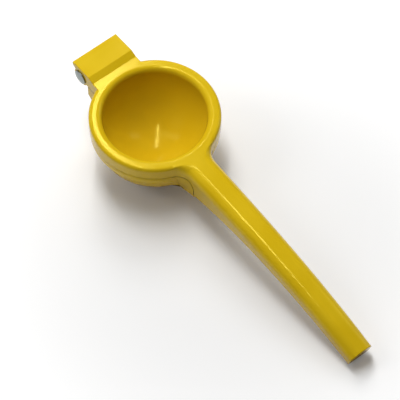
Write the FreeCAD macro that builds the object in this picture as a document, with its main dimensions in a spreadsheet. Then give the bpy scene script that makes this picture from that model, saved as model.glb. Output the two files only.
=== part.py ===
import FreeCAD, Part
import os
import re
import Sketcher
from FreeCAD import Placement, Rotation, Vector

# A hinged citrus squeezer: two enamelled castings on one steel rivet. The upper casting has the dome
# that presses the fruit, the lower one the strainer bowl. Lengths are millimetres. X runs from the
# hinge to the handle's tip, Z is up. The sketches are drawn with the bowl's axis at X = 0 and the
# top of the rings at Z = 0. Each piece's Placement then leans it by rest_lean, so that the squeezer
# stands on the bowl's pad and the handle's foot.

SIZES = {
    # rings and bowls
    "hollow_radius": 28.8,
    "lip_radius": 3.0,
    "dome_wall": 2.4,
    "bowl_gap": 1.1,
    "bowl_wall": 2.7,
    "ring_lip": 1.0,
    "ring_height": 8.2,
    "ring_edge": 2.0,
    "parting_gap": 0.5,
    "rim_setback": 0.3,
    "rim_height": 5.4,
    "rim_edge": 0.8,
    "pad_cut": 1.0,
    "drain_radius": 2.25,
    "inner_drain_circle": 6.8,
    "outer_drain_circle": 15.0,
    # handles
    "tip_reach": 175.5,
    "line_drop": 12.5,
    "drop_power": 2.8,
    "handle_width": 17.2,
    "tip_width": 14.4,
    "handle_depth": 11.8,
    "root_depth": 21.0,
    "shoulder_radius": 5.5,
    "belly_radius": 2.4,
    "channel_wall": 2.6,
    "channel_lead": 2.9,
    "roof_wall": 3.0,
    "end_wall": 3.0,
    "handle_gap": 0.8,
    "handle_stand": 0.5,
    "foot_rise": 4.8,
    "foot_stand": 1.2,
    "trough_wall": 2.2,
    "trough_floor": 3.0,
    "flare_radius": 9.0,
    "seam_step": 3.4,
    "seam_radius": 6.0,
    "neck_drop": 9.0,
    # hinge
    "hinge_width": 29.6,
    "ridge_step": 4.0,
    "ridge_rise": 1.7,
    "back_step": 18.2,
    "back_rise": 0.7,
    "back_height": 2.4,
    "pin_step": 11.2,
    "pin_depth": 6.0,
    "lug_thickness": 6.6,
    "lug_radius": 5.4,
    "knuckle_radius": 4.4,
    "knuckle_gap": 0.35,
    "stem_gap": 0.8,
    "stem_depth": 7.0,
    "gusset_depth": 13.0,
    "pin_radius": 2.3,
    "pin_clearance": 0.08,
    "head_radius": 4.3,
    "head_height": 1.6,
    "head_edge": 0.7,
}
HANDLE_STATIONS = 7
FLARE_STATIONS = 5
INNER_DRAINS = 6
OUTER_DRAINS = 12

# What follows from those sizes, so that pieces which fit together stay together. Levels are heights
# above the top of the rings, and a reach is measured from the bowl's axis.
FITS = {
    "dome_radius": "hollow_radius + dome_wall",
    "bowl_inside": "dome_radius + bowl_gap",
    "bowl_radius": "bowl_inside + bowl_wall",
    "ring_radius": "bowl_radius + ring_lip",
    "rim_radius": "ring_radius - rim_setback",
    "parting_level": "-ring_height - parting_gap",
    "lip_reach": "sqrt((hollow_radius + lip_radius) ^ 2 - lip_radius ^ 2)",
    "lip_share": "hollow_radius / (hollow_radius + lip_radius)",
    "neck_reach": "sqrt((ring_radius + flare_radius) ^ 2 - (handle_width / 2 + flare_radius) ^ 2)",
    "flare_turn": "acos((handle_width / 2 + flare_radius) / (ring_radius + flare_radius))",
    "line_run": "tip_reach - neck_reach",
    "channel_reach": "neck_reach - channel_lead",
    "seam_reach": "neck_reach + seam_step",
    "ridge_reach": "ring_radius + ridge_step",
    "pin_reach": "ring_radius + pin_step",
    "back_reach": "ring_radius + back_step",
    "stem_reach": "pin_reach - lug_radius - stem_gap",
    "clear_radius": "knuckle_radius + knuckle_gap",
    "tip_lean": "atan(line_drop * drop_power / line_run)",
    "tip_out": "tip_reach - handle_depth * sin(tip_lean)",
    "tip_fall": "-line_drop - handle_depth * cos(tip_lean) - parting_level",
    "tip_span": "sqrt(tip_out ^ 2 + tip_fall ^ 2)",
    "pad_depth": "bowl_radius - pad_cut",
    "rest_lean": "asin((pad_depth - foot_stand) / tip_span) + atan(tip_fall / tip_out)",
    "knuckle_width": "hinge_width - 2 * lug_thickness - 2 * knuckle_gap",
    "head_bulge": "head_height - head_edge",
    "head_round": "(head_radius ^ 2 + head_bulge ^ 2) / (2 * head_bulge)",
}

doc = FreeCAD.newDocument("squeezer")
sheet = doc.addObject("Spreadsheet::Sheet", "Sizes")
for row, (name, size) in enumerate(SIZES.items(), start=1):
    sheet.set("A%d" % row, name)
    sheet.set("B%d" % row, str(size))
    sheet.setAlias("B%d" % row, name)
doc.recompute()

# The reader works a formula out from the sheet, so that a sketch starts where its sizes put it.
reader = doc.addObject("App::FeaturePython", "Reader")
reader.addProperty("App::PropertyFloat", "Result")


def bound(formula):
    """The formula with its fits written out and each size's name pointed at the sheet."""

    def written_out(name):
        return "(%s)" % bound(FITS[name[0]]) if name[0] in FITS else "Sizes." + name[0]

    return re.sub(r"\b[a-z]+_[a-z_]+\b", written_out, formula)


def value(formula):
    reader.setExpression("Result", bound(formula))
    reader.recompute()
    return reader.Result


def plane(body, role):
    return next(item for item in body.Origin.OriginFeatures if item.Role == role)


def place_point(sketch, item, end, across, up):
    """Ties one point of a sketch to two formulas, or to an axis where the formula is 0."""
    for kind, formula, axis in (("DistanceX", across, -2), ("DistanceY", up, -1)):
        if formula == "0":
            sketch.addConstraint(Sketcher.Constraint("PointOnObject", item, end, axis))
            continue
        tie = sketch.addConstraint(Sketcher.Constraint(kind, -1, 1, item, end, value(formula)))
        sketch.setExpression("Constraints[%d]" % tie, bound(formula))


def new_sketch(body, name, role, offset=None):
    sketch = body.newObject("Sketcher::SketchObject", name)
    sketch.AttachmentSupport = (plane(body, role), "")
    sketch.MapMode = "FlatFace"
    for path, formula in (offset or {}).items():
        sketch.setExpression("AttachmentOffset." + path, bound(formula))
    return sketch


def outline(body, name, role, start, steps, offset=None):
    """A closed outline. Each step is the formulas of the next corner, and for a round step its
    radius too, with a minus sign before it where the step runs clockwise."""
    sketch = new_sketch(body, name, role, offset)
    corners = [start] + [step[:2] for step in steps]
    spots = [Vector(value(across), value(up), 0) for across, up in corners]
    ends = []
    for index, step in enumerate(steps):
        a, b = spots[index], spots[(index + 1) % len(steps)]
        if len(step) == 2:
            item = sketch.addGeometry(Part.LineSegment(a, b), False)
            ends.append((item, 1, 2))
            continue
        turn = step[2]
        clockwise = turn.startswith("-")
        radius = value(turn.lstrip("-"))
        if clockwise:
            a, b = b, a
        half = (b - a) * 0.5
        rise = max(radius ** 2 - half.Length ** 2, 0) ** 0.5
        centre = a + half + Vector(-half.y, half.x, 0).normalize() * rise
        circle = Part.Circle(centre, Vector(0, 0, 1), radius)
        item = sketch.addGeometry(Part.ArcOfCircle(circle, circle.parameter(a), circle.parameter(b)), False)
        tie = sketch.addConstraint(Sketcher.Constraint("Radius", item, radius))
        sketch.setExpression("Constraints[%d]" % tie, bound(turn.lstrip("-")))
        ends.append((item, 2, 1) if clockwise else (item, 1, 2))
    for index, (item, first, last) in enumerate(ends):
        follower, follower_first, _ = ends[(index + 1) % len(ends)]
        sketch.addConstraint(Sketcher.Constraint("Coincident", item, last, follower, follower_first))
        place_point(sketch, item, first, *corners[index])
    return sketch


def circles(body, name, role, spots, offset=None):
    """Full circles, each given as the formulas of its centre and radius."""
    sketch = new_sketch(body, name, role, offset)
    for across, up, radius in spots:
        shape = Part.Circle(Vector(value(across), value(up), 0), Vector(0, 0, 1), value(radius))
        item = sketch.addGeometry(shape, False)
        place_point(sketch, item, 3, across, up)
        tie = sketch.addConstraint(Sketcher.Constraint("Radius", item, value(radius)))
        sketch.setExpression("Constraints[%d]" % tie, bound(radius))
    return sketch


def turned(body, name, sketch, cut=False):
    """The outline turned once round the upright axis of the sketch."""
    feature = body.newObject("PartDesign::Groove" if cut else "PartDesign::Revolution", name)
    feature.Profile = sketch
    feature.ReferenceAxis = (sketch, ["V_Axis"])
    feature.Angle = 360
    return feature


def pad(body, name, sketch, length, both=False, down=False):
    feature = body.newObject("PartDesign::Pad", name)
    feature.Profile = sketch
    feature.setExpression("Length", bound(length))
    feature.Midplane = both
    feature.Reversed = down
    return feature


def pocket(body, name, sketch, length, both=False, down=False):
    feature = body.newObject("PartDesign::Pocket", name)
    feature.Profile = sketch
    feature.setExpression("Length", bound(length))
    feature.Midplane = both
    feature.Reversed = down
    return feature


def loft(body, name, sketches, cut=False, ruled=False):
    feature = body.newObject("PartDesign::SubtractiveLoft" if cut else "PartDesign::AdditiveLoft", name)
    feature.Profile = sketches[0]
    feature.Sections = sketches[1:]
    feature.Ruled = ruled
    return feature


# The handles' common line leaves the rings level and bends down towards the tip. A station is a
# share of that run, and a section there stands square to the line.
def half_width(share):
    return "((handle_width + (tip_width - handle_width) * %s) / 2)" % share


def depth(share):
    return "(handle_depth + (root_depth - handle_depth) * (1 - %s) ^ 4)" % share


def stations(last, count=HANDLE_STATIONS):
    """Shares of the run from its start to the last one, evenly spaced."""
    return ["(%s * %d / %d)" % (last, number, count - 1) for number in range(count)]


def on_line(sketch, share):
    """Moves a section to its station and leans it back with the line."""
    slope = "atan(line_drop * drop_power * %s ^ (drop_power - 1) / line_run)" % share
    lean = value(slope + " / 1deg")
    sketch.AttachmentOffset = Placement(Vector(0, 0, 0), Rotation(Vector(1, 0, 0), lean))
    sketch.setExpression("AttachmentOffset.Base.z", bound("neck_reach + %s * line_run" % share))
    sketch.setExpression("AttachmentOffset.Base.y", bound("-line_drop * %s ^ drop_power" % share))
    if lean > 0.01:
        sketch.setExpression("AttachmentOffset.Rotation.Angle", bound(slope))
    return sketch


def round_section(body, name, wide, top, low, shoulder, offset=None):
    """A section with round shoulders, upright sides and rounded lower edges."""
    return outline(
        body, name, "YZ_Plane",
        ("-%s" % wide, "%s - %s" % (top, shoulder)),
        [
            ("-%s" % wide, "%s + belly_radius" % low),
            ("belly_radius - %s" % wide, low, "belly_radius"),
            ("%s - belly_radius" % wide, low),
            (wide, "%s + belly_radius" % low, "belly_radius"),
            (wide, "%s - %s" % (top, shoulder)),
            ("%s - %s" % (wide, shoulder), top, shoulder),
            ("%s - %s" % (shoulder, wide), top),
            ("-%s" % wide, "%s - %s" % (top, shoulder), shoulder),
        ],
        offset,
    )


def channel_section(body, name, wide, deep):
    """The channel under the upper handle, cut right through its underside."""
    wide, bend = "(%s - channel_wall)" % wide, "(shoulder_radius - channel_wall)"
    low = "-%s - 2 * belly_radius" % deep
    return outline(
        body, name, "YZ_Plane",
        ("-%s" % wide, "-roof_wall - %s" % bend),
        [
            ("-%s" % wide, low),
            (wide, low),
            (wide, "-roof_wall - %s" % bend),
            ("%s - %s" % (wide, bend), "-roof_wall", bend),
            ("%s - %s" % (bend, wide), "-roof_wall"),
            ("-%s" % wide, "-roof_wall - %s" % bend, bend),
        ],
    )


def block_section(body, name, wide, top, low, offset=None):
    """A section with a flat top and rounded lower edges."""
    return outline(
        body, name, "YZ_Plane",
        ("-%s" % wide, top),
        [
            ("-%s" % wide, "%s + belly_radius" % low),
            ("belly_radius - %s" % wide, low, "belly_radius"),
            ("%s - belly_radius" % wide, low),
            (wide, "%s + belly_radius" % low, "belly_radius"),
            (wide, top),
            ("-%s" % wide, top),
        ],
        offset,
    )


def slot_section(body, name, wide, low):
    """The trough along the lower handle, open at the top."""
    return outline(
        body, name, "YZ_Plane",
        ("-%s" % wide, "0"),
        [("-%s" % wide, low), (wide, low), (wide, "0"), ("-%s" % wide, "0")],
    )


# Where the handles meet the rings, a round corner on each side runs from the ring into the handle's
# side. A flare station is a share of that corner's turn, from the handle (0) to the ring (1).
def flare_at(share):
    """The reach, half width and shoulder radius of a flare station."""
    swell = "(1 - cos(%s * flare_turn))" % share
    wide = "(handle_width / 2 + flare_radius * %s)" % swell
    shoulder = "(shoulder_radius - (shoulder_radius - ring_edge) * %s / (1 - cos(flare_turn)))" % swell
    return "(neck_reach - flare_radius * sin(%s * flare_turn))" % share, wide, shoulder


flare_shares = ["%d / %d" % (number, FLARE_STATIONS) for number in range(FLARE_STATIONS + 1)]


def grip_section(name, wide, deep, shoulder="shoulder_radius", offset=None):
    """The outside of the upper handle, its top on the line."""
    return round_section(press, name, wide, "0", "-" + deep, shoulder, offset)


# Press half, cast in one: the ring round a hollow dome, the channel handle and two hinge lugs.
press = doc.addObject("PartDesign::Body", "press_half")
turned(press, "Ring", outline(
    press, "RingOutline", "XZ_Plane", ("0", "-ring_height"),
    [
        ("ring_radius", "-ring_height"),
        ("ring_radius", "-ring_edge"),
        ("ring_radius - ring_edge", "0", "ring_edge"),
        ("0", "0"),
        ("0", "-ring_height"),
    ],
))
loft(press, "Grip", [
    on_line(grip_section("Grip%d" % number, half_width(share), depth(share)), share)
    for number, share in enumerate(stations("1"))
])
sections = []
for number, share in enumerate(flare_shares):
    reach, wide, shoulder = flare_at(share)
    sections.append(grip_section("Flare%d" % number, wide, depth("0"), shoulder, {"Base.z": reach}))
root = {"Base.z": "hollow_radius + ring_edge"}
sections.append(grip_section("FlareRoot", wide, depth("0"), shoulder, root))
loft(press, "Flare", sections, ruled=True)

# The hinge block: from a low ridge beside the ring its top falls to a thin back edge.
pad(press, "HingeBlock", outline(
    press, "HingeOutline", "XZ_Plane", ("-hollow_radius", "0"),
    [
        ("-ring_radius", "0"),
        ("-ridge_reach", "ridge_rise"),
        ("-back_reach", "back_rise"),
        ("-back_reach", "back_rise - back_height"),
        ("-pin_reach - lug_radius * cos(30)", "-pin_depth + lug_radius * sin(30)"),
        ("-pin_reach", "-pin_depth - lug_radius", "lug_radius"),
        ("-pin_reach + sqrt(lug_radius ^ 2 - (ring_height - pin_depth) ^ 2)", "-ring_height", "lug_radius"),
        ("-hollow_radius", "-ring_height"),
        ("-hollow_radius", "0"),
    ],
), "hinge_width", both=True)

# Below the parting plane the upper casting stops at the seam, where the lower one's neck comes up.
pocket(press, "Seam", outline(
    press, "SeamOutline", "XZ_Plane", ("0", "-ring_height"),
    [
        ("0", "-2 * root_depth"),
        ("seam_reach", "-2 * root_depth"),
        ("seam_reach", "-ring_height - seam_radius"),
        ("seam_reach - seam_radius", "-ring_height", "seam_radius"),
        ("0", "-ring_height"),
    ],
), "2 * ring_radius", both=True)
channel = [
    on_line(channel_section(press, "Channel%d" % number, half_width(share), depth(share)), share)
    for number, share in enumerate(stations("(1 - end_wall / line_run)"))
]
loft(press, "Channel", channel, cut=True)
pocket(press, "ChannelRoot", channel[0], "channel_lead")

turned(press, "Dome", outline(
    press, "DomeOutline", "XZ_Plane", ("0", "-ring_height / 2"),
    [
        ("0", "-dome_radius"),
        ("sqrt(dome_radius ^ 2 - ring_height ^ 2)", "-ring_height", "dome_radius"),
        ("sqrt(dome_radius ^ 2 - ring_height ^ 2)", "-ring_height / 2"),
        ("0", "-ring_height / 2"),
    ],
))
turned(press, "Hollow", outline(
    press, "HollowOutline", "XZ_Plane", ("0", "-hollow_radius"),
    [
        ("lip_share * lip_reach", "-lip_share * lip_radius", "hollow_radius"),
        ("lip_reach", "0", "-lip_radius"),
        ("lip_reach", "ring_height"),
        ("0", "ring_height"),
        ("0", "-hollow_radius"),
    ],
), cut=True)

# Between the lugs the block is cut away round the knuckle, open behind and below.
gap_side = "-pin_reach + sqrt(clear_radius ^ 2 - (ring_height - pin_depth) ^ 2)"
pocket(press, "KnuckleGap", outline(
    press, "KnuckleGapOutline", "XZ_Plane", (gap_side, "-ring_height"),
    [
        ("-pin_reach - clear_radius * cos(30)", "-pin_depth + clear_radius * sin(30)", "clear_radius"),
        ("-back_reach - lug_radius", "-pin_depth + clear_radius * sin(30)"),
        ("-back_reach - lug_radius", "-pin_depth - 2 * lug_radius"),
        ("-stem_reach", "-pin_depth - 2 * lug_radius"),
        ("-stem_reach", "-ring_height"),
        (gap_side, "-ring_height"),
    ],
), "hinge_width - 2 * lug_thickness", both=True)
pocket(press, "PinHole", circles(
    press, "PinHoleOutline", "XZ_Plane", [("-pin_reach", "-pin_depth", "pin_radius")],
), "2 * hinge_width", both=True)

# Strainer half, cast in one: the bowl with its rim, the trough handle and the hinge knuckle.
strainer = doc.addObject("PartDesign::Body", "strainer_half")
turned(strainer, "Bowl", outline(
    strainer, "BowlOutline", "XZ_Plane", ("0", "parting_level"),
    [
        ("0", "parting_level - bowl_radius"),
        ("sqrt(bowl_radius ^ 2 - rim_height ^ 2)", "parting_level - rim_height", "bowl_radius"),
        ("rim_radius - rim_edge", "parting_level - rim_height"),
        ("rim_radius", "parting_level - rim_height + rim_edge", "rim_edge"),
        ("rim_radius", "parting_level - rim_edge"),
        ("rim_radius - rim_edge", "parting_level", "rim_edge"),
        ("0", "parting_level"),
    ],
))

# The neck has the upper handle's width and flare, deepens towards the bowl, and follows the seam.
neck_low = "(-%s - handle_stand)" % depth("0")
front = {"Base.z": "seam_reach - parting_gap"}
sections = [block_section(strainer, "NeckFront", half_width("0"), "parting_level", neck_low, front)]
for number, share in enumerate(flare_shares):
    reach, wide, _ = flare_at(share)
    low = "(%s - neck_drop * (seam_reach - %s) / seam_reach)" % (neck_low, reach)
    spot = {"Base.z": reach}
    sections.append(block_section(strainer, "Neck%d" % number, wide, "parting_level", low, spot))
low = "(%s - neck_drop / 2)" % neck_low
root = {"Base.z": "ring_radius / 2"}
sections.append(block_section(strainer, "NeckRoot", wide, "parting_level", low, root))
loft(strainer, "Neck", sections, ruled=True)
pocket(strainer, "NeckCorner", outline(
    strainer, "NeckCornerOutline", "XZ_Plane", ("seam_reach - seam_radius", "parting_level"),
    [
        ("seam_reach - parting_gap", "-ring_height - seam_radius", "-(seam_radius - parting_gap)"),
        ("seam_reach + seam_radius", "-ring_height - seam_radius"),
        ("seam_reach + seam_radius", "parting_level"),
        ("seam_reach - seam_radius", "parting_level"),
    ],
), "2 * ring_radius", both=True)


# The lower handle runs inside the channel with handle_gap to spare on each side, above and beyond.
def bar_width(share):
    return "(%s - channel_wall - handle_gap)" % half_width(share)


bar = []
for number, share in enumerate(stations("(1 - (end_wall + handle_gap) / line_run)")):
    low = "(-%s - handle_stand - foot_rise * %s ^ 8)" % (depth(share), share)
    section = round_section(strainer, "Bar%d" % number, bar_width(share), "-(roof_wall + handle_gap)", low,
                            "(shoulder_radius - channel_wall - handle_gap)")
    bar.append(on_line(section, share))
loft(strainer, "Bar", bar)
pad(strainer, "BarRoot", bar[0], "channel_lead - handle_gap", down=True)


def table_at(reach):
    """The table's height at a reach, as the leaning squeezer sees it."""
    return "parting_level - pad_depth / cos(rest_lean) + (%s) * tan(rest_lean)" % reach


# One cut along the table makes the bowl's pad and the foot under the handle's end.
pocket(strainer, "Table", outline(
    strainer, "TableOutline", "XZ_Plane", ("-ring_radius", table_at("-ring_radius")),
    [
        ("-ring_radius", "-2 * ring_radius"),
        ("tip_reach", "-2 * ring_radius"),
        ("tip_reach", table_at("tip_reach")),
        ("-ring_radius", table_at("-ring_radius")),
    ],
), "2 * ring_radius", both=True)

# The hinge side: a stem under the block's full width, and an arm between the lugs with the knuckle.
pad(strainer, "Stem", outline(
    strainer, "StemOutline", "XZ_Plane", ("-ring_radius / 2", "parting_level"),
    [
        ("-stem_reach", "parting_level"),
        ("-stem_reach", "parting_level - stem_depth"),
        ("-ring_radius + ring_edge", "parting_level - gusset_depth"),
        ("-ring_radius / 2", "parting_level - gusset_depth"),
        ("-ring_radius / 2", "parting_level"),
    ],
), "hinge_width", both=True)
knuckle_side = "-pin_reach + sqrt(knuckle_radius ^ 2 - (ring_height + parting_gap - pin_depth) ^ 2)"
pad(strainer, "Knuckle", outline(
    strainer, "KnuckleOutline", "XZ_Plane", (knuckle_side, "parting_level"),
    [
        ("-pin_reach", "-pin_depth + knuckle_radius", "knuckle_radius"),
        ("-pin_reach - knuckle_radius", "-pin_depth", "knuckle_radius"),
        ("-pin_reach", "-pin_depth - knuckle_radius", "knuckle_radius"),
        ("-stem_reach + stem_gap", "parting_level - stem_depth"),
        ("-stem_reach + stem_gap", "parting_level"),
        (knuckle_side, "parting_level"),
    ],
), "knuckle_width", both=True)

turned(strainer, "BowlHollow", outline(
    strainer, "BowlHollowOutline", "XZ_Plane", ("0", "parting_level - bowl_inside"),
    [
        ("bowl_inside", "parting_level", "bowl_inside"),
        ("bowl_inside", "ring_height"),
        ("0", "ring_height"),
        ("0", "parting_level - bowl_inside"),
    ],
), cut=True)
trough = []
for number, share in enumerate(stations("(1 - (end_wall + handle_gap + trough_wall) / line_run)")):
    wide = "(%s - trough_wall)" % bar_width(share)
    section = slot_section(strainer, "Trough%d" % number, wide, "(trough_floor - %s)" % depth(share))
    trough.append(on_line(section, share))
loft(strainer, "Trough", trough, cut=True)
pocket(strainer, "PinBore", circles(
    strainer, "PinBoreOutline", "XZ_Plane", [("-pin_reach", "-pin_depth", "pin_radius + pin_clearance")],
), "2 * hinge_width", both=True)


def drains(name, spot, count):
    """Drain holes straight down through the bowl, repeated round its axis."""
    hole = pocket(strainer, name, circles(
        strainer, name + "Outline", "XY_Plane", [(spot, "0", "drain_radius")],
    ), "2 * bowl_radius")
    if count == 1:
        return
    ring = strainer.newObject("PartDesign::PolarPattern", name + "Ring")
    ring.Originals = [hole]
    ring.Axis = (plane(strainer, "Z_Axis"), [""])
    ring.Angle = 360
    ring.Occurrences = count
    strainer.Tip = ring


drains("CentreDrain", "0", 1)
drains("InnerDrain", "inner_drain_circle", INNER_DRAINS)
drains("OuterDrain", "outer_drain_circle", OUTER_DRAINS)

# Rivet: its shank is pressed into the lugs, and a domed head sits on each lug's outer face.
pin = doc.addObject("PartDesign::Body", "hinge_pin")
turned(pin, "Rivet", outline(
    pin, "RivetOutline", "XY_Plane", ("0", "-hinge_width / 2 - head_height"),
    [
        ("head_radius", "-hinge_width / 2 - head_edge", "head_round"),
        ("head_radius", "-hinge_width / 2"),
        ("pin_radius", "-hinge_width / 2"),
        ("pin_radius", "hinge_width / 2"),
        ("head_radius", "hinge_width / 2"),
        ("head_radius", "hinge_width / 2 + head_edge"),
        ("0", "hinge_width / 2 + head_height", "head_round"),
        ("0", "-hinge_width / 2 - head_height"),
    ],
))
doc.recompute()

# Each piece is leant and stood on the table, with the middle of the squeezer's length at X = 0. The
# ends of that length are the top of the handle's tip and the lower corner of the block's back edge.
front_end = "(tip_reach * cos(rest_lean) - line_drop * sin(rest_lean))"
back_end = "(back_reach * cos(rest_lean) + (back_height - back_rise) * sin(rest_lean))"
for piece, reach, level in (
    (press, "0", "0"), (strainer, "0", "0"), (pin, "-pin_reach", "-pin_depth"),
):
    piece.Placement = Placement(Vector(0, 0, 0), Rotation(Vector(0, 1, 0), value("rest_lean / 1deg")))
    for path, formula in (
        ("Rotation.Angle", "rest_lean"),
        ("Base.x", "%s * cos(rest_lean) + (%s) * sin(rest_lean) + (%s - %s) / 2"
         % (reach, level, back_end, front_end)),
        ("Base.z", "(%s - parting_level) * cos(rest_lean) - (%s) * sin(rest_lean) + pad_depth"
         % (level, reach)),
    ):
        piece.setExpression("Placement." + path, bound(formula))
doc.recompute()

broken = [item.Label for item in doc.Objects if {"Invalid", "Error"} & set(item.State)]
shaped = [item for item in doc.Objects if item.isDerivedFrom("PartDesign::Feature")]
broken += [item.Label for item in shaped if item.Shape.isNull() or not item.Shape.isValid()]
if broken:
    raise RuntimeError("not built: " + ", ".join(broken))
os.makedirs("parts", exist_ok=True)
for piece in (press, strainer, pin):
    piece.Shape.exportStep("parts/%s.step" % piece.Label)
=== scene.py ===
import math

import bpy
from mathutils import Matrix, Quaternion, Vector


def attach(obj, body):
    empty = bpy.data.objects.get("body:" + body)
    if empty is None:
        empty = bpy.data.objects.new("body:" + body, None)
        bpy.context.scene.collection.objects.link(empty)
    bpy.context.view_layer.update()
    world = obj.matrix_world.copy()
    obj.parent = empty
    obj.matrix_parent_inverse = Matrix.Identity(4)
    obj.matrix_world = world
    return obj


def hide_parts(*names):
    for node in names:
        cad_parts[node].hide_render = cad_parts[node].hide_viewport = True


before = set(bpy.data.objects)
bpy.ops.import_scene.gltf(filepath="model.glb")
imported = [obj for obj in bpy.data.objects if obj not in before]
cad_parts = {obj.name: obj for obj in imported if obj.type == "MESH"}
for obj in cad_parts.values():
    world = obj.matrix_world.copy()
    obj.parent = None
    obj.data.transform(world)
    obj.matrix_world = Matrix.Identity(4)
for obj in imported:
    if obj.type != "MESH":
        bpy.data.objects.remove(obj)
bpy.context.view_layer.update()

# Press half: the upper casting, a ring round a hollow dome with the channel handle and the lugs of
# the hinge. It is sand cast in aluminium, tumbled, and coated all over in glossy lemon enamel.


def linear(code):
    """An sRGB hex colour as linear red, green, blue and alpha."""
    shares = [int(code[i : i + 2], 16) / 255 for i in (0, 2, 4)]
    return [c / 12.92 if c <= 0.04045 else ((c + 0.055) / 1.055) ** 2.4 for c in shares] + [1.0]


def add(tree, kind, settings=(), inputs=(), links=()):
    """Adds a node, sets it and its sockets, and links other nodes' outputs to its inputs."""
    node = tree.nodes.new(kind)
    for name, setting in dict(settings).items():
        setattr(node, name, setting)
    for name, amount in dict(inputs).items():
        node.inputs[name].default_value = amount
    for name, output in dict(links).items():
        tree.links.new(output, node.inputs[name])
    return node


def new_material(name):
    """An empty material with its tree and Object coordinates."""
    made = bpy.data.materials.new(name)
    made.use_nodes = True
    tree = made.node_tree
    tree.nodes.clear()
    place = add(tree, "ShaderNodeTexCoord").outputs["Object"]
    return made, tree, place


def finish_material(tree, shader):
    add(tree, "ShaderNodeOutputMaterial", links={"Surface": shader})


# Two-coat enamel, sprayed on and fired, with a yellow sheen. It flows out glossy. Painted shade
# darkens its colour in the hollow of the cup, and most in nooks and along the parting line. It is a
# little uneven in clouds of 26 mm, and keeps the casting's 9 mm ripple under a 1.4 mm orange peel.
CLOUD_MM, RIPPLE_MM, PEEL_MM = 26.3, 9.09, 1.43
NOOK_SHADE_REACH, HOLLOW_SHADE_REACH, WORN_EDGE = 0.003, 0.03, 0.0007
enamel, tree, place = new_material("Lemon enamel on cast aluminium")
clouds = add(
    tree, "ShaderNodeTexNoise", inputs={"Scale": 1000 / CLOUD_MM, "Detail": 2.0},
    links={"Vector": place},
)
tint = add(tree, "ShaderNodeValToRGB", links={"Fac": clouds.outputs["Fac"]})
for stop, position, colour in zip(tint.color_ramp.elements, (0.3, 0.7), ("D8B414", "DFBC1C")):
    stop.position = position
    stop.color = linear(colour)
coat = tint.outputs["Color"]
# Painted shade: ambient occlusion mixes the colour towards dark yellow in the cup's hollow and
# towards dark brown in nooks and along the parting line.
for reach, darkest, lightest, deep in (
    (HOLLOW_SHADE_REACH, 0.35, 0.95, "B98F0C"),
    (NOOK_SHADE_REACH, 0.15, 0.75, "4E3E06"),
):
    shelter = add(tree, "ShaderNodeAmbientOcclusion", {"samples": 8}, {"Distance": reach})
    open_share = add(
        tree, "ShaderNodeMapRange", inputs={"From Min": darkest, "From Max": lightest},
        links={"Value": shelter.outputs["AO"]},
    )
    painted_shade = add(
        tree, "ShaderNodeMix", {"data_type": "RGBA"}, {6: linear(deep)},
        {0: open_share.outputs["Result"], 7: coat},
    )
    coat = painted_shade.outputs[2]
normal = add(tree, "ShaderNodeBevel", {"samples": 6}, {"Radius": WORN_EDGE}).outputs["Normal"]
for wave_mm, strength, height in ((RIPPLE_MM, 0.12, 0.0004), (PEEL_MM, 0.05, 0.0001)):
    wave = add(
        tree, "ShaderNodeTexNoise", inputs={"Scale": 1000 / wave_mm, "Detail": 1.0},
        links={"Vector": place},
    )
    bump = add(
        tree, "ShaderNodeBump", inputs={"Strength": strength, "Distance": height},
        links={"Height": wave.outputs["Fac"], "Normal": normal},
    )
    normal = bump.outputs["Normal"]
gloss = add(
    tree, "ShaderNodeMapRange", inputs={"To Min": 0.10, "To Max": 0.16},
    links={"Value": clouds.outputs["Fac"]},
)
shader = add(
    tree, "ShaderNodeBsdfPrincipled",
    inputs={"IOR": 1.5, "Specular Tint": linear("FFF070")},
    links={"Base Color": coat, "Roughness": gloss.outputs["Result"], "Normal": normal},
)
finish_material(tree, shader.outputs["BSDF"])


def dress(piece, material):
    """Gives a piece this material in all its slots."""
    piece.data.materials.clear()
    piece.data.materials.append(material)


dress(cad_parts["press_half"], enamel)

# Strainer half: the lower casting, with the drained bowl, the trough handle that lies inside the
# upper one, and the hinge knuckle, in the same enamel. It is a copy of the CAD node whose neck,
# between bowl and handle, is drawn in towards the bottom, as a pattern is tapered to leave sand.
# Heights and reaches are metres from the bowl's axis at the top of the rings, before they lean.
RING_TOP = Vector((-0.0596, 0, 0.04265))
REST_LEAN = math.radians(5.876)
RIM_TOP, RIM_FOOT, RIM_RADIUS = -0.0095, -0.0145, 0.0359
BOWL_MIDDLE, BOWL_RADIUS = Vector((0, 0, -0.0087)), 0.0353
NECK_REACH, NECK_FOOT, TROUGH_SIDE = 0.0416, -0.0236, 0.0086
SAME_POINT, CREASE = 1e-6, math.radians(28)
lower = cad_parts["strainer_half"].copy()
lower.data = lower.data.copy()
lower.name = "strainer_casting"
bpy.context.collection.objects.link(lower)
bpy.ops.object.select_all(action="DESELECT")
lower.select_set(True)
bpy.context.view_layer.objects.active = lower
bpy.ops.object.mode_set(mode="EDIT")
bpy.ops.mesh.select_all(action="SELECT")
bpy.ops.mesh.remove_doubles(threshold=SAME_POINT)
bpy.ops.object.mode_set(mode="OBJECT")
bpy.ops.mesh.customdata_custom_splitnormals_clear()
leaning = Matrix.Rotation(REST_LEAN, 3, "Y")
levelling = leaning.inverted()
for vertex in lower.data.vertices:
    spot = levelling @ (vertex.co - RING_TOP)
    beside = 0 < spot.x < NECK_REACH and abs(spot.y) > TROUGH_SIDE and spot.z < RIM_TOP
    on_rim = math.hypot(spot.x, spot.y) < RIM_RADIUS and spot.z > RIM_FOOT
    on_bowl = (spot - BOWL_MIDDLE).length <= BOWL_RADIUS
    if beside and not on_rim and not on_bowl:
        fall = min((RIM_TOP - spot.z) / (RIM_TOP - NECK_FOOT), 1)
        flare = (abs(spot.y) - TROUGH_SIDE) * (1 - fall)
        spot.y = math.copysign(TROUGH_SIDE + flare, spot.y)
        vertex.co = RING_TOP + leaning @ spot
bpy.ops.object.shade_smooth_by_angle(angle=CREASE)
dress(lower, enamel)
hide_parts("strainer_half")
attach(lower, "strainer")

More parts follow.
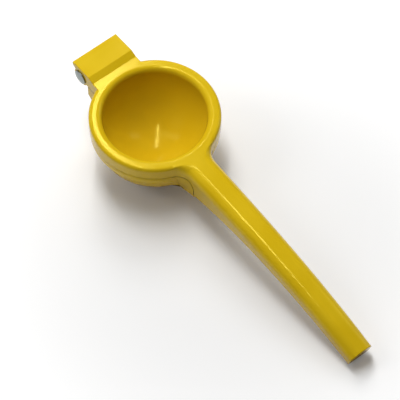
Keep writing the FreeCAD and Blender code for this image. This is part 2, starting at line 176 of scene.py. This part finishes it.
# Hinge pin: a mild steel rivet through both castings, its heads set cold and left bare. The metal
# is dull and grey, with a 1.1 mm mottle from the setting tool.
MOTTLE_MM = 1.11
steel, tree, place = new_material("Bare rivet steel")
mottle = add(
    tree, "ShaderNodeTexNoise", inputs={"Scale": 1000 / MOTTLE_MM, "Detail": 3.0},
    links={"Vector": place},
)
shade = add(tree, "ShaderNodeValToRGB", links={"Fac": mottle.outputs["Fac"]})
for stop, colour in zip(shade.color_ramp.elements, ("8F9896", "AAB1AF")):
    stop.color = linear(colour)
dents = add(
    tree, "ShaderNodeBump", inputs={"Strength": 0.15, "Distance": 0.0001},
    links={"Height": mottle.outputs["Fac"]},
)
shader = add(
    tree, "ShaderNodeBsdfPrincipled",
    inputs={"Metallic": 1.0, "Roughness": 0.34},
    links={"Base Color": shade.outputs["Color"], "Normal": dents.outputs["Normal"]},
)
finish_material(tree, shader.outputs["BSDF"])
dress(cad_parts["hinge_pin"], steel)

# The table is a wide sheet of matt white board. Camera rays see a painted glow on it, weakest
# near the squeezer, which paints a soft shade round it. The squeezer's own shadow stays on it.
TABLE_WIDTH, TABLE_DROP = 6.0, 0.0002
bpy.ops.object.select_all(action="DESELECT")
bpy.ops.mesh.primitive_plane_add(size=TABLE_WIDTH, location=(0, 0, -TABLE_DROP))
table = bpy.context.object
table.name = "table_top"
board, tree, place = new_material("White studio table")
seen = add(tree, "ShaderNodeLightPath")
away = add(tree, "ShaderNodeVectorMath", {"operation": "LENGTH"}, links={0: place})
# Painted shade round the squeezer: the glow is weakest within 5 cm of its origin, fullest beyond 20
# cm.
glow_less_near_squeezer = add(
    tree, "ShaderNodeMapRange", {"interpolation_type": "SMOOTHSTEP"},
    {"From Min": 0.05, "From Max": 0.20, "To Min": 0.06, "To Max": 0.30},
    {"Value": away.outputs["Value"]},
)
lift = add(
    tree, "ShaderNodeMath", {"operation": "MULTIPLY"},
    links={0: seen.outputs["Is Camera Ray"], 1: glow_less_near_squeezer.outputs["Result"]},
)
matt = add(tree, "ShaderNodeBsdfDiffuse", inputs={"Color": linear("EFEFEF")})
glow = add(tree, "ShaderNodeEmission", links={"Strength": lift.outputs[0]})
both = add(tree, "ShaderNodeAddShader", links={0: matt.outputs[0], 1: glow.outputs[0]})
finish_material(tree, both.outputs[0])
dress(table, board)

# Studio light. Three soft boxes, overhead, behind and on the left, light the squeezer and don't
# show in its gloss. A narrow strip along the line of sight draws the streak in the cup and the line
# along the handle, with a broad weak strip on each side. Nothing stands in front, so what faces the
# camera is darker. The camera looks down on the near side with a long lens.
TARGET = Vector((-0.0135, -0.0071, 0.0183))
AZIMUTH, ELEVATION, ROLL = 56.897, 54.577, -6.184
DISTANCE, LENS, SENSOR, FARTHEST = 1.4595, 244.06, 36.0, 20.0
ROOM_LIGHT = 0.06
turn, tilt, roll = (math.radians(a) for a in (AZIMUTH, ELEVATION, ROLL))
right = Vector((math.cos(turn), math.sin(turn), 0))
behind = Vector((-math.sin(turn), math.cos(turn), 0))


def soft_box(name, sideways, back, above, wide, deep, power, mirrored=True, spin=0):
    """A lamp that faces the target from metres right of, behind and above it, spun by degrees."""
    lamp = bpy.data.lights.new(name, "AREA")
    lamp.shape = "RECTANGLE"
    lamp.size = wide
    lamp.size_y = deep
    lamp.energy = power
    lamp_object = bpy.data.objects.new(name, lamp)
    offset = right * sideways + behind * back + Vector((0, 0, above))
    lamp_object.location = TARGET + offset
    aim = (-offset).to_track_quat("-Z", "Y") @ Quaternion((0, 0, 1), math.radians(spin))
    lamp_object.rotation_euler = aim.to_euler()
    lamp_object.visible_glossy = mirrored
    bpy.context.collection.objects.link(lamp_object)


soft_box("overhead", -0.12, 0.35, 1.25, 0.3, 0.9, 7.0, mirrored=False)
soft_box("back_box", 0.05, 0.95, 0.95, 0.5, 0.5, 4.6, mirrored=False)
soft_box("left_box", -0.95, 0.0, 0.95, 0.5, 0.5, 2.5, mirrored=False)
soft_box("strip", -0.02, 0.284, 0.99, 0.05, 1.03, 3.0, spin=-11)
soft_box("left_strip", -0.55, 0.44, 0.97, 0.25, 1.0, 0.9)
soft_box("right_strip", 0.95, 0.43, 0.59, 0.25, 1.0, 0.9)
world = bpy.data.worlds.new("Room")
bpy.context.scene.world = world
world.use_nodes = True
room = world.node_tree.nodes["Background"].inputs
room["Color"].default_value = linear("FFFFFF")
room["Strength"].default_value = ROOM_LIGHT

ahead = behind * math.cos(tilt) + Vector((0, 0, -math.sin(tilt)))
up = right.cross(ahead)
across = right * math.cos(roll) + up * math.sin(roll)
upright = up * math.cos(roll) - right * math.sin(roll)
lens = bpy.data.cameras.new("camera")
lens.lens = LENS
lens.sensor_width = SENSOR
lens.clip_end = FARTHEST
camera = bpy.data.objects.new("camera", lens)
camera.rotation_euler = Matrix((across, upright, -ahead)).transposed().to_euler()
camera.location = TARGET - ahead * DISTANCE
bpy.context.collection.objects.link(camera)
bpy.context.scene.camera = camera
bpy.context.scene.view_settings.view_transform = "Standard"
